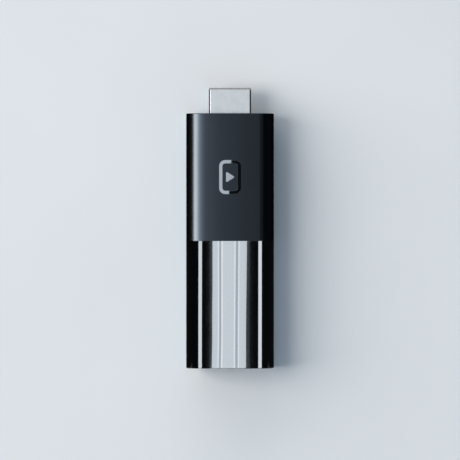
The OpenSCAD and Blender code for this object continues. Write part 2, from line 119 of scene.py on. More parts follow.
BADGE_W = BADGE_HIGH.x - BADGE_LOW.x
BADGE_L = BADGE_HIGH.y - BADGE_LOW.y
BADGE_Y = (BADGE_HIGH.y + BADGE_LOW.y) / 2
BADGE_STROKE = 1.1 * MM
BADGE_R = 2 * MM
BADGE_PROUD = 0.06 * MM
BADGE_T = 0.4 * MM
BADGE_GAP = 0.04 * MM
GLUE_T = 0.06 * MM
ARROW_W = 2 * MM
ARROW_L = 2.5 * MM
ARROW_R = 0.35 * MM

# ---- Roundings, steps and tolerances of the finished pieces ----

RIM_R = 0.22 * MM
SEAM_R = 0.05 * MM
HOLE_RIM_R = 0.12 * MM
SHEET_RIM_R = 0.24 * MM
SHEET_RIM_STRETCH = 3.0
SHEET_EDGE_R = 0.04 * MM
BADGE_EDGE = 0.02 * MM
BADGE_ROOM = 1.5 * MM
CUT_ROOM = 1 * MM
BEAD_ROOT = 0.1 * MM
SIDE_STEPS = 72
CROWN_STEPS = 24
BACK_STEPS = 12
BADGE_STEPS = 96
ROUND_STEPS = 5
CORNER_STEPS = 8
SAME_PLACE = 0.0005 * MM
SAME_FACING = 0.999
WELD_GAP = 0.001 * MM
BEVEL_ANGLE = math.radians(35)

# ---- Table, room, light and camera ----

FLOOR_W = 6.0
# Just under the stick's back, so that the two don't lie in one plane
FLOOR_Z = -0.02 * MM
FLOOR_COLOURS = ((0.61, 0.65, 0.68), (0.63, 0.67, 0.7))
FLOOR_IN_MIRRORS = 0.01
FLOOR_FADE = (0.3, 1.0)
ROOM_SEEN = (0.66, 0.71, 0.745)
ROOM_FILL = (0.82, 1.0, 1.2)
ROOM_LEVEL = 0.37
ROOM_IN_MIRRORS = 0.006
SUNLIGHT = (1.09, 1.0, 0.92)
WARM_DAYLIGHT = (1.13, 1.0, 0.87)
DAYLIGHT = (1.0, 1.0, 1.0)
BLUE_DAYLIGHT = (0.91, 1.0, 1.09)
SKYLIGHT = (0.77, 1.0, 1.22)
METAL_LIGHT = (0.95, 1.0, 1.03)
LAMP_DISTANCE = 0.4
FAR_DISTANCE = 2.5
END_DISTANCE = 0.6
STRIP_L = 0.6
WINDOW_L = 1.0
PLUG_LAMP_L = 0.25
SIDE_LAMP_L = 0.35
WINDOW_LEAN = -4
GLOW_L = 0.3
GLOW_GAP = 0.3 * MM
GLOW_FAR_GAP = 20 * MM
GLOW_Z = 0.2 * MM
PLUG_GLOW = 0.12
BADGE_LAMP_W = 0.25
BADGE_LAMP_LEAN = -36
BOUNCE_H = 7 * MM
BOUNCE_LEVEL = 0.28
BOUNCE_LIGHT = (0.55, 1.0, 1.4)
SENSOR_W = 36.0
VIEW_W = 151.7 * MM
CAMERA_AT = Vector((-0.02 * MM, -0.6 * MM, MID_Z + 2.4))


# ---- Outlines ----


def rounded(centres, radius, steps=CORNER_STEPS):
    """(point, outward normal) round a convex shape: circles of one radius on centres, counterclockwise."""
    found = []
    count = len(centres)
    for i, centre in enumerate(centres):
        before = Vector(centre) - Vector(centres[i - 1])
        after = Vector(centres[(i + 1) % count]) - Vector(centre)
        start = math.atan2(-before.x, before.y)
        turn = (math.atan2(-after.x, after.y) - start) % (2 * math.pi)
        for step in range(steps + 1):
            angle = start + turn * step / steps
            normal = Vector((math.cos(angle), math.sin(angle)))
            found.append((Vector(centre) + radius * normal, normal))
    return found


def connector_curve(width, height, cut, radius):
    """A connector's outline in X and Z: square above, its lower corners cut off."""
    half_w, half_h = width / 2 - radius, height / 2 - radius
    centres = [
        (-(half_w - cut), MID_Z - half_h),
        (half_w - cut, MID_Z - half_h),
        (half_w, MID_Z - half_h + cut),
        (half_w, MID_Z + half_h),
        (-half_w, MID_Z + half_h),
        (-half_w, MID_Z - half_h + cut),
    ]
    return rounded(centres, radius)


def section_curve():
    """The body's outline in X and Z, counterclockwise from the middle of the back."""
    found = []
    for step in range(BACK_STEPS):
        x = SIDE_X * step / BACK_STEPS
        found.append((Vector((x, 0)), Vector((0, -1))))
    side_turn = math.pi - CROWN_ANGLE
    for step in range(SIDE_STEPS):
        angle = side_turn * step / SIDE_STEPS - math.pi / 2
        normal = Vector((math.cos(angle), math.sin(angle)))
        found.append((Vector((SIDE_X, SIDE_R)) + SIDE_R * normal, normal))
    for step in range(CROWN_STEPS):
        angle = CROWN_ANGLE * (1 - step / CROWN_STEPS)
        normal = Vector((math.sin(angle), math.cos(angle)))
        found.append((Vector((0, CROWN_Z)) + CROWN_R * normal, normal))
    top = [(Vector((0, THICK)), Vector((0, 1)))]
    mirrored = [(Vector((-p.x, p.y)), Vector((-n.x, n.y))) for p, n in reversed(found[1:])]
    return found + top + mirrored


def matched(outline, directions, middle):
    """The (point, normal) where each direction from the middle crosses the outline."""
    found = []
    for ray in directions:
        for (a, normal_a), (b, normal_b) in zip(outline, outline[1:] + outline[:1]):
            side_a = ray.x * (a - middle).y - ray.y * (a - middle).x
            side_b = ray.x * (b - middle).y - ray.y * (b - middle).x
            if side_a <= 0 < side_b:
                share = side_a / (side_a - side_b)
                hit = a.lerp(b, share)
                if (hit - middle).dot(ray) > 0:
                    found.append((hit, normal_a.lerp(normal_b, share).normalized()))
                    break
    return found


# ---- Lofts ----


class Loft:
    """A skin through rings. A ring is (curve, how far out from the curve, how far along); a facing is
    (out, along). A tube's curves are in X and Z and it runs along Y."""

    def __init__(self, curve, out, along):
        self.rings = [(curve, out, along)]
        self.bands = []

    def to(self, curve, out, along, facing):
        """A straight band to a new ring."""
        self.rings.append((curve, out, along))
        self.bands.append((facing, facing))
        return self

    def round(self, radius, start, end, stretch=1.0):
        """A rounded edge from the last ring, over which the facing turns from start to end. Stretch
        makes it that many times longer along than out."""
        curve, out, along = self.rings[-1]
        out, along = out - radius * start[0], along - radius * stretch * start[1]
        last = start
        for step in range(1, ROUND_STEPS + 1):
            angle = math.pi / 2 * step / ROUND_STEPS
            place = [math.cos(angle) * s + math.sin(angle) * e for s, e in zip(start, end)]
            self.rings.append((curve, out + radius * place[0], along + radius * stretch * place[1]))
            facing = (stretch * place[0], place[1])
            self.bands.append((last, facing))
            last = facing
        return self

    def place(self, point, normal, out, along):
        return Vector((point.x + out * normal.x, along, point.y + out * normal.y))

    def facing(self, point, normal, out, along):
        return Vector((out * normal.x, along, out * normal.y)).normalized()

    def closed(self):
        """(vertices, faces, corner normals) of a skin whose last ring is its first."""
        rings = self.rings[:-1]
        return self.skin(rings, [(band, (band + 1) % len(rings)) for band in range(len(rings))])

    def capped(self):
        """(vertices, faces, corner normals) of a skin whose first and last rings are filled in."""
        verts, faces, normals = self.skin(self.rings, [(band, band + 1) for band in range(len(self.bands))])
        count = len(self.rings[0][0])
        for ring, along in ((0, -1), (len(self.rings) - 1, 1)):
            around = [ring * count + i for i in range(count)]
            faces.append(around[::-1] if along < 0 else around)
            curve = self.rings[ring][0]
            caps = [self.facing(point, normal, 0, along) for point, normal in curve]
            normals.append(caps[::-1] if along < 0 else caps)
        return verts, faces, normals

    def skin(self, rings, pairs):
        count = len(rings[0][0])
        verts = [self.place(p, n, out, along) for curve, out, along in rings for p, n in curve]
        faces, normals = [], []
        for (here, there), (first, second) in zip(pairs, self.bands):
            for i in range(count):
                j = (i + 1) % count
                faces.append([here * count + i, here * count + j, there * count + j, there * count + i])
                corners = ((here, first, i), (here, first, j), (there, second, j), (there, second, i))
                normals.append([self.facing(*rings[ring][0][k], *facing) for ring, facing, k in corners])
        return verts, faces, normals


class Inlay(Loft):
    """A skin whose curves are in X and Y. Its rings lie on the crown of the front, along above it."""

    def place(self, point, normal, out, along):
        x, y = point.x + out * normal.x, point.y + out * normal.y
        return Vector((x, y, CROWN_Z + math.sqrt((CROWN_R + along) ** 2 - x * x)))

    def facing(self, point, normal, out, along):
        tilt = math.asin(point.x / CROWN_R)
        up = Vector((math.sin(tilt), 0, math.cos(tilt)))
        return (out * Vector((normal.x, normal.y, 0)) + along * up).normalized()


def skin_mesh(name, *skins):
    """One mesh of these skins, with the normals they ask for."""
    verts, faces, normals = [], [], []
    for skin_verts, skin_faces, skin_normals in skins:
        start = len(verts)
        verts += skin_verts
        faces += [[start + corner for corner in face] for face in skin_faces]
        normals += skin_normals
    mesh = bpy.data.meshes.new(name)
    mesh.from_pydata(verts, [], faces)
    return with_normals(mesh, normals)


def with_normals(mesh, normals):
    """The mesh, its faces turned the way of the normals, with those normals at its corners."""
    if mesh.polygons[0].normal.dot(sum(normals[0], Vector())) < 0:
        mesh.flip_normals()
        normals = [[face[0], *reversed(face[1:])] for face in normals]
    mesh.polygons.foreach_set("use_smooth", [True] * len(mesh.polygons))
    mesh.normals_split_custom_set([normal for face in normals for normal in face])
    return mesh


# ---- Cuts ----


def prism_mesh(outline, low, high):
    """A closed prism over a convex outline in X and Y."""
    count = len(outline)
    verts = [(point.x, point.y, z) for z in (low, high) for point in outline]
    faces = [list(range(count))[::-1], list(range(count, 2 * count))]
    faces += [[i, (i + 1) % count, count + (i + 1) % count, count + i] for i in range(count)]
    mesh = bpy.data.meshes.new("prism")
    mesh.from_pydata(verts, [], faces)
    return mesh


def brick_mesh(x, y, z):
    """A closed block between two places on each axis."""
    outline = [Vector((x[0], y[0])), Vector((x[1], y[0])), Vector((x[1], y[1])), Vector((x[0], y[1]))]
    return prism_mesh(outline, *z)


def shown(mesh):
    made = bpy.data.objects.new(mesh.name, mesh)
    bpy.context.scene.collection.objects.link(made)
    return made


def worked(mesh, cuts=(), joins=()):
    """The mesh with some meshes cut from it and some joined to it. What is left of its own surface
    keeps its normals, and new faces are flat."""
    solid = shown(mesh.copy())
    tools = []
    for operation, others in (("DIFFERENCE", cuts), ("UNION", joins)):
        for other in others:
            step = solid.modifiers.new(operation, "BOOLEAN")
            step.operation = operation
            step.solver = "EXACT"
            step.object = shown(other)
            tools.append(step.object)
    weld = solid.modifiers.new("weld", "WELD")
    weld.merge_threshold = WELD_GAP
    bpy.context.view_layer.update()
    made = bpy.data.meshes.new_from_object(solid.evaluated_get(bpy.context.evaluated_depsgraph_get()))
    for helper in (solid, *tools):
        bpy.data.meshes.remove(helper.data)
    tree = BVHTree.FromPolygons([v.co for v in mesh.vertices], [list(p.vertices) for p in mesh.polygons])
    normals = []
    for face in made.polygons:
        _, _, source, gap = tree.find_nearest(face.center)
        own = mesh.polygons[source]
        corners = [made.vertices[i].co for i in face.vertices]
        if gap < SAME_PLACE and own.normal.dot(face.normal) > SAME_FACING:
            around = [mesh.vertices[i].co for i in own.vertices]
            known = [mesh.corner_normals[i].vector for i in own.loop_indices]
            shares = [poly_3d_calc(around, corner) for corner in corners]
            normals.append([sum((w * n for w, n in zip(share, known)), Vector()) for share in shares])
        else:
            normals.append([face.normal.copy() for _ in corners])
    return with_normals(made, [[normal.normalized() for normal in face] for face in normals])


def add_piece(name, mesh, material, node):
    """A finished piece of the object, which stands for its CAD node."""
    mesh.name = name
    piece = shown(mesh)
    piece.name = name
    mesh.materials.clear()
    mesh.materials.append(material)
    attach(piece, BODY)
    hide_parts(node)
    return piece


def finish_node(name, material, edge=0.0):
    """Gives a CAD node its material, and rounds its edges with modifiers that leave its mesh as it is."""
    node = NODES[name]
    node.data.materials.clear()
    node.data.materials.append(material)
    if edge:
        weld = node.modifiers.new("weld", "WELD")
        weld.merge_threshold = WELD_GAP
        bevel = node.modifiers.new("bevel", "BEVEL")
        bevel.width = edge
        bevel.segments = 2
        bevel.limit_method = "ANGLE"
        bevel.angle_limit = BEVEL_ANGLE
        even = node.modifiers.new("even", "WEIGHTED_NORMAL")
        even.keep_sharp = False


# ---- Material helpers ----


class Surface:
    """A node material, built up from a Principled shader."""

    def __init__(self, name, roughness, metallic=0.0, **sockets):
        self.material = bpy.data.materials.new(name)
        self.material.use_nodes = True
        self.tree = self.material.node_tree
        self.shader = self.tree.nodes["Principled BSDF"]
        self.shader.inputs["Metallic"].default_value = metallic
        self.shader.inputs["Roughness"].default_value = roughness
        for name, value in sockets.items():
            self.shader.inputs[name.replace("_", " ")].default_value = value
        self.place = self.tree.nodes.new("ShaderNodeTexCoord").outputs["Object"]
        self.relief = None

    def node(self, kind, **values):
        made = self.tree.nodes.new(kind)
        for name, value in values.items():
            setattr(made, name, value)
        return made

    def stretched(self, scale, turn=(0, 0, 0)):
        """The piece's own coordinates, scaled on each axis."""
        mapping = self.node("ShaderNodeMapping")
        self.tree.links.new(self.place, mapping.inputs["Vector"])
        mapping.inputs["Scale"].default_value = scale
        mapping.inputs["Rotation"].default_value = turn
        return mapping.outputs["Vector"]

    def noise(self, size, detail=3.0, stretch=(1, 1, 1)):
        """Noise whose features are size across."""
        noise = self.node("ShaderNodeTexNoise")
        self.tree.links.new(self.stretched(stretch), noise.inputs["Vector"])
        noise.inputs["Scale"].default_value = 1 / size
        noise.inputs["Detail"].default_value = detail
        return noise.outputs["Fac"]

    def cells(self, size, stretch=(1, 1, 1)):
        """The distance to the nearest of scattered points, size apart."""
        cells = self.node("ShaderNodeTexVoronoi")
        self.tree.links.new(self.stretched(stretch), cells.inputs["Vector"])
        cells.inputs["Scale"].default_value = 1 / size
        return cells.outputs["Distance"]

    def ranged(self, value, low, high, start=0.3, end=0.7):
        """The value's middle range, spread from low to high."""
        spread = self.node("ShaderNodeMapRange")
        self.tree.links.new(value, spread.inputs["Value"])
        spread.inputs["From Min"].default_value = start
        spread.inputs["From Max"].default_value = end
        spread.inputs["To Min"].default_value = low
        spread.inputs["To Max"].default_value = high
        return spread.outputs["Result"]

    def colour(self, value, first, second):
        """Base colour that goes from first to second with the value."""
        ramp = self.node("ShaderNodeValToRGB")
        self.tree.links.new(value, ramp.inputs["Fac"])
        ramp.color_ramp.elements[0].position = 0.3
        ramp.color_ramp.elements[0].color = (*first, 1)
        ramp.color_ramp.elements[1].position = 0.7
        ramp.color_ramp.elements[1].color = (*second, 1)
        self.tree.links.new(ramp.outputs["Color"], self.shader.inputs["Base Color"])
        return self

    def rough(self, value, low, high):
        """Roughness that varies between low and high."""
        self.tree.links.new(self.ranged(value, low, high), self.shader.inputs["Roughness"])
        return self

    def bump(self, value, height, strength=1.0, coat=False):
        """Relief of that height in metres, on top of any earlier relief."""
        bump = self.node("ShaderNodeBump")
        self.tree.links.new(value, bump.inputs["Height"])
        bump.inputs["Distance"].default_value = height
        bump.inputs["Strength"].default_value = strength
        if self.relief:
            self.tree.links.new(self.relief, bump.inputs["Normal"])
        self.relief = bump.outputs["Normal"]
        self.tree.links.new(self.relief, self.shader.inputs["Normal"])
        if coat:
            self.tree.links.new(self.relief, self.shader.inputs["Coat Normal"])
        return self


# ---- Materials ----


def matte_shell():
    """Slate-grey satin lacquer. Its reflection is tinted, and no stronger at the rim than at the middle."""
    made = Surface("matte_shell", 0.2, 1.0, Specular_Tint=(0.3, 0.3, 0.3, 1))
    made.colour(made.noise(9 * MM, 4), (0.155, 0.195, 0.25), (0.165, 0.205, 0.262))
    made.rough(made.noise(0.9 * MM, 3), 0.19, 0.21)
    made.bump(made.noise(0.09 * MM, 2), 0.0004 * MM, 0.4)
    made.bump(made.cells(0.2 * MM), 0.0003 * MM, 0.2)
    return made.material


def gloss_shell():
    """Black gloss plastic: a clear hard surface over a slightly hazy one."""
    made = Surface(
        "gloss_shell", 0.1, Specular_IOR_Level=0.15, Coat_Weight=1.0, Coat_Roughness=0.012, Coat_IOR=1.5
    )
    made.colour(made.noise(14 * MM, 2), (0.0003, 0.00035, 0.0004), (0.0005, 0.00055, 0.0006))
    made.rough(made.noise(6 * MM, 3), 0.09, 0.11)
    made.bump(made.noise(20 * MM, 1, (1, 0.6, 1)), 0.05 * MM, 1.0, coat=True)
    return made.material


def polished_metal():
    """The badge's mirror-bright metal."""
    made = Surface("polished_metal", 0.03, 1.0)
    made.colour(made.noise(1.5 * MM, 2), (0.76, 0.78, 0.81), (0.82, 0.84, 0.87))
    made.rough(made.noise(0.6 * MM, 3, (1, 4, 1)), 0.02, 0.045)
    made.bump(made.noise(0.3 * MM, 2, (1, 3, 1)), 0.0002 * MM, 0.2)
    return made.material


def nickel_sheet():
    """Nickel-plated sheet with the faint lines of rolling."""
    made = Surface("nickel_sheet", 0.22, 1.0)
    made.colour(made.noise(2.5 * MM, 3), (0.71, 0.735, 0.765), (0.77, 0.79, 0.82))
    made.rough(made.noise(0.5 * MM, 4, (1, 0.08, 1)), 0.18, 0.26)
    made.bump(made.noise(0.12 * MM, 3, (1, 0.04, 1)), 0.0006 * MM, 0.35)
    return made.material


def tin_sheet():
    """Tin-plated steel with a crystal pattern."""
    made = Surface("tin_sheet", 0.36, 1.0)
    made.colour(made.cells(1.1 * MM), (0.56, 0.57, 0.58), (0.7, 0.71, 0.72))
    made.rough(made.cells(0.8 * MM), 0.3, 0.46)
    made.bump(made.noise(0.3 * MM, 3), 0.002 * MM, 0.4)
    return made.material


def rolled_aluminium():
    """Mill-finish aluminium with lines along the sheet."""
    made = Surface("rolled_aluminium", 0.38, 1.0)
    made.colour(made.noise(3 * MM, 3, (1, 0.1, 1)), (0.7, 0.71, 0.73), (0.78, 0.79, 0.81))
    made.rough(made.noise(0.7 * MM, 4, (1, 0.06, 1)), 0.32, 0.46)
    made.bump(made.noise(0.2 * MM, 3, (1, 0.04, 1)), 0.0015 * MM, 0.5)
    return made.material


def screw_steel():
    """Plated screws with turned rings."""
    made = Surface("screw_steel", 0.34, 1.0)
    made.colour(made.noise(0.6 * MM, 3), (0.58, 0.59, 0.61), (0.7, 0.71, 0.73))
    made.rough(made.noise(0.25 * MM, 3), 0.28, 0.42)
    made.bump(made.noise(0.1 * MM, 2), 0.001 * MM, 0.4)
    return made.material


def gold_contact():
    """Gold plating over nickel."""
    made = Surface("gold_contact", 0.26, 1.0)
    made.colour(made.noise(0.8 * MM, 2), (0.83, 0.62, 0.24), (0.9, 0.7, 0.33))
    made.rough(made.noise(0.3 * MM, 3, (1, 0.2, 1)), 0.2, 0.32)
    return made.material


def antenna_metal():
    """Pale plated spring sheet."""
    made = Surface("antenna_metal", 0.34, 1.0)
    made.colour(made.noise(1.2 * MM, 3), (0.74, 0.62, 0.4), (0.82, 0.71, 0.5))
    made.rough(made.noise(0.5 * MM, 3, (1, 0.1, 1)), 0.28, 0.42)
    return made.material


def moulded(name, first, second, roughness=0.55, grain=0.25):
    """Moulded plastic with a fine grain and a slight change of tone."""
    made = Surface(name, roughness)
    made.colour(made.noise(2.2 * MM, 3), first, second)
    made.rough(made.noise(0.5 * MM, 3), roughness - 0.06, roughness + 0.06)
    made.bump(made.noise(grain * MM, 2), 0.003 * MM, 0.35)
    return made.material


def chip_mould():
    """A chip's sand-blasted moulding compound."""
    made = Surface("chip_mould", 0.62)
    made.colour(made.noise(0.25 * MM, 4), (0.018, 0.019, 0.021), (0.04, 0.041, 0.044))
    made.rough(made.noise(0.2 * MM, 3), 0.52, 0.72)
    made.bump(made.noise(0.08 * MM, 3), 0.004 * MM, 0.5)
    return made.material


def board_laminate():
    """Green solder mask over copper: the tracks show as raised, lighter lines."""
    made = Surface("board_laminate", 0.3, Coat_Weight=0.4, Coat_Roughness=0.15)
    tracks = made.node("ShaderNodeTexBrick", offset=0.5, squash=1.0)
    made.tree.links.new(made.stretched((1, 1, 0.001)), tracks.inputs["Vector"])
    tracks.inputs["Color1"].default_value = (0, 0, 0, 1)
    tracks.inputs["Color2"].default_value = (0.2, 0.2, 0.2, 1)
    tracks.inputs["Mortar"].default_value = (1, 1, 1, 1)
    tracks.inputs["Scale"].default_value = 1 / (2.4 * MM)
    tracks.inputs["Mortar Size"].default_value = 0.06
    tracks.inputs["Brick Width"].default_value = 1.3
    tracks.inputs["Row Height"].default_value = 0.3
    made.colour(tracks.outputs["Color"], (0.008, 0.06, 0.032), (0.03, 0.13, 0.06))
    made.rough(made.noise(1.5 * MM, 3), 0.26, 0.36)
    made.bump(tracks.outputs["Color"], 0.02 * MM, 0.5)
    made.bump(made.noise(0.5 * MM, 3), 0.002 * MM, 0.3)
    return made.material


def silicone(name, first, second):
    """Soft thermal pad with a fine weave pressed into it."""
    made = Surface(name, 0.8)
    made.colour(made.noise(0.7 * MM, 4), first, second)
    made.rough(made.noise(0.4 * MM, 3), 0.72, 0.9)
    made.bump(made.cells(0.35 * MM), 0.02 * MM, 0.4)
    return made.material


def sintered(name, first, second, roughness=0.6):
    """Fired or pressed grains."""
    made = Surface(name, roughness)
    made.colour(made.noise(0.15 * MM, 4), first, second)
    made.rough(made.noise(0.2 * MM, 3), roughness - 0.12, roughness + 0.1)
    made.bump(made.noise(0.07 * MM, 3), 0.004 * MM, 0.5)
    return made.material


def glue_film():
    """Milky adhesive film."""
    made = Surface("glue_film", 0.45)
    made.colour(made.noise(0.8 * MM, 3), (0.62, 0.6, 0.54), (0.74, 0.72, 0.66))
    made.rough(made.noise(0.4 * MM, 3), 0.36, 0.55)
    return made.material


# ---- The pieces ----


def matte_casing(section):
    """The half by the plug: a tube whose closed end has the plug's opening."""
    directions = [(point - MIDDLE).normalized() for point, _ in section]
    hole = connector_curve(
        PLUG_W + 2 * CONNECTOR_GAP, PLUG_H + 2 * CONNECTOR_GAP, PLUG_CUT, PLUG_R + CONNECTOR_GAP
    )
    hole = matched(hole, directions, MIDDLE)
    loft = Loft(section, 0, SEAM_Y + SEAM_R)
    loft.to(section, 0, BADGE_LOW.y - BADGE_ROOM, (1, 0))
    loft.to(section, 0, BADGE_HIGH.y + BADGE_ROOM, (1, 0))
    loft.to(section, 0, HEAD_Y - RIM_R, (1, 0))
    loft.round(RIM_R, (1, 0), (0, 1))
    loft.to(hole, HOLE_RIM_R, HEAD_Y, (0, 1))
    loft.round(HOLE_RIM_R, (0, 1), (-1, 0))
    loft.to(hole, 0, HEAD_Y - END_WALL, (-1, 0))
    loft.to(section, -WALL, HEAD_Y - END_WALL, (0, -1))
    loft.to(section, -WALL, LIP_END_Y + LIP_GAP, (-1, 0))
    loft.to(section, -LIP_DEPTH, LIP_END_Y + LIP_GAP, (0, -1))
    loft.to(section, -LIP_DEPTH, SEAM_Y, (-1, 0))
    loft.to(section, -SEAM_R, SEAM_Y, (0, -1))
    loft.round(SEAM_R, (0, -1), (1, 0))
    mesh = skin_mesh("matte_casing", loft.closed())
    recess = badge_skins(BADGE_GAP, CUT_ROOM, BADGE_PROUD - BADGE_T - GLUE_T, 0)
    grooves = lip_beads(section, LIP_GAP)
    mesh = worked(mesh, cuts=[*recess, *hook_pockets(HEAD_Y - HOOK_IN_Y[1]), grooves])
    return add_piece("matte_casing", mesh, matte_shell(), "matte_housing")


def gloss_casing(section):
    """The half by the socket: a tube with the socket's opening, and a lip that goes into the other half."""
    directions = [(point - MIDDLE).normalized() for point, _ in section]
    hole = connector_curve(
        SOCKET_W + 2 * CONNECTOR_GAP, SOCKET_H + 2 * CONNECTOR_GAP, SOCKET_CUT, SOCKET_R + CONNECTOR_GAP
    )
    hole = matched(hole, directions, MIDDLE)
    lip = -LIP_DEPTH - LIP_GAP
    loft = Loft(section, 0, SEAM_Y - SEAM_R)
    loft.to(section, 0, FOOT_Y + RIM_R, (1, 0))
    loft.round(RIM_R, (1, 0), (0, -1))
    loft.to(hole, HOLE_RIM_R, FOOT_Y, (0, -1))
    loft.round(HOLE_RIM_R, (0, -1), (-1, 0))
    loft.to(hole, 0, FOOT_Y + END_WALL, (-1, 0))
    loft.to(section, -WALL, FOOT_Y + END_WALL, (0, 1))
    loft.to(section, -WALL, LIP_END_Y, (-1, 0))
    loft.to(section, lip - SEAM_R, LIP_END_Y, (0, 1))
    loft.round(SEAM_R, (0, 1), (1, 0))
    loft.to(section, lip, SEAM_Y, (1, 0))
    loft.to(section, -SEAM_R, SEAM_Y, (0, 1))
    loft.round(SEAM_R, (0, 1), (1, 0))
    mesh = skin_mesh("gloss_casing", loft.closed())
    mesh = worked(mesh, cuts=hook_pockets(FOOT_Y + HOOK_IN_Y[0]), joins=[lip_beads(section, 0)])
    return add_piece("gloss_casing", mesh, gloss_shell(), "gloss_housing")


def lip_beads(section, grow):
    """The snap beads across the back and the crown of the lip, or with grow the grooves for them."""
    low = -LIP_DEPTH - LIP_GAP - BEAD_ROOT
    high = low + BEAD_ROOT + BEAD_H + grow
    ends = (BEAD_Y - BEAD_HALF_L - grow, BEAD_Y + BEAD_HALF_L + grow)
    loft = Loft(section, high, ends[0])
    loft.to(section, high, ends[1], (1, 0))
    loft.to(section, low, ends[1], (0, 1))
    loft.to(section, low, ends[0], (-1, 0))
    loft.to(section, high, ends[0], (0, -1))
    ring = skin_mesh("lip_beads", loft.closed())
    x = (BEAD_HALF_W + grow, HALF_W + CUT_ROOM)
    y = (ends[0] - CUT_ROOM, ends[1] + CUT_ROOM)
    z = (-CUT_ROOM, THICK + CUT_ROOM)
    return worked(ring, cuts=[brick_mesh(x, y, z), brick_mesh((-x[1], -x[0]), y, z)])


def hook_pockets(y):
    """What is cut from a casing's side walls for the frame's hooks."""
    z = (MID_Z - HOOK_HALF_Z, MID_Z + HOOK_HALF_Z)
    sides = ((HOOK_X[0], HOOK_X[1]), (-HOOK_X[1], -HOOK_X[0]))
    return [brick_mesh(x, (y - HOOK_HALF_L, y + HOOK_HALF_L), z) for x in sides]


def badge_outlines():
    """The badge's outlines in X and Y: the frame's outside and inside, and the arrowhead."""
    middle = Vector((0, BADGE_Y))
    found = []
    for inset in (0, BADGE_STROKE):
        x, y = BADGE_W / 2 - BADGE_R, BADGE_L / 2 - BADGE_R
        corners = [(-x, BADGE_Y - y), (x, BADGE_Y - y), (x, BADGE_Y + y), (-x, BADGE_Y + y)]
        outline = rounded(corners, BADGE_R - inset)
        turns = [2 * math.pi * (i + 0.5) / BADGE_STEPS for i in range(BADGE_STEPS)]
        found.append(matched(outline, [Vector((math.cos(t), math.sin(t))) for t in turns], middle))
    corners = [(-ARROW_W / 2, BADGE_Y + ARROW_L / 2), (-ARROW_W / 2, BADGE_Y - ARROW_L / 2)]
    corners.append((ARROW_W / 2, BADGE_Y))
    found.append(rounded(corners, ARROW_R))
    return found


def badge_skins(grow, top, bottom, edge):
    """Meshes over the badge's plan between two heights above the crown, with rounded upper edges."""
    outside, inside, arrow = badge_outlines()
    frame_loft = Inlay(outside, grow, bottom)
    frame_loft.to(outside, grow, top - edge, (1, 0))
    if edge:
        frame_loft.round(edge, (1, 0), (0, 1))
    frame_loft.to(inside, edge - grow, top, (0, 1))
    if edge:
        frame_loft.round(edge, (0, 1), (-1, 0))
    frame_loft.to(inside, -grow, bottom, (-1, 0))
    frame_loft.to(outside, grow, bottom, (0, -1))
    arrow_loft = Inlay(arrow, grow, bottom)
    arrow_loft.to(arrow, grow, top - edge, (1, 0))
    if edge:
        arrow_loft.round(edge, (1, 0), (0, 1))
    skins = (frame_loft.closed(), arrow_loft.capped())
    return [skin_mesh("badge", skin) for skin in skins]


def badge_inlay():
    """The badge: a rounded frame and an arrowhead of polished metal, which follow the crown."""
    frame_mesh, arrow_mesh = badge_skins(0, BADGE_PROUD, BADGE_PROUD - BADGE_T, BADGE_EDGE)
    mesh = worked(frame_mesh, joins=[arrow_mesh])
    return add_piece("badge_inlay", mesh, polished_metal(), "badge")


def plug_shell():
    """The plug's folded sheet-metal shell, with its windows, its seam and its two legs."""
    outer = connector_curve(PLUG_W, PLUG_H, PLUG_CUT, PLUG_R)
    loft = Loft(outer, 0, TIP_Y - SHEET_RIM_R * SHEET_RIM_STRETCH)
    loft.to(outer, 0, PLUG_BACK_Y, (1, 0))
    loft.to(outer, -PLUG_SHEET, PLUG_BACK_Y, (0, -1))
    loft.to(outer, -PLUG_SHEET, TIP_Y - SHEET_EDGE_R, (-1, 0))
    loft.round(SHEET_EDGE_R, (-1, 0), (0, 1))
    loft.to(outer, -SHEET_RIM_R, TIP_Y, (0, 1))
    loft.round(SHEET_RIM_R, (0, 1), (1, 0), SHEET_RIM_STRETCH)
    mesh = skin_mesh("plug_shell", loft.closed())
    low = (-THICK, MID_Z)
    windows = [brick_mesh(x, WINDOW_Y, low) for x in (WINDOW_X, (-WINDOW_X[1], -WINDOW_X[0]))]
    seam = brick_mesh((-FOLD_GAP / 2, FOLD_GAP / 2), (PLUG_BACK_Y - THICK, TIP_Y + THICK), low)
    leg_y = (PLUG_LOW.y, PLUG_BACK_Y + LEG_LAP)
    right = (PLUG_W / 2 - PLUG_SHEET, PLUG_W / 2)
    legs = [brick_mesh(x, leg_y, LEG_Z) for x in (right, (-right[1], -right[0]))]
    mesh = worked(mesh, cuts=[*windows, seam], joins=legs)
    return add_piece("plug_metal", mesh, nickel_sheet(), "plug_shell")


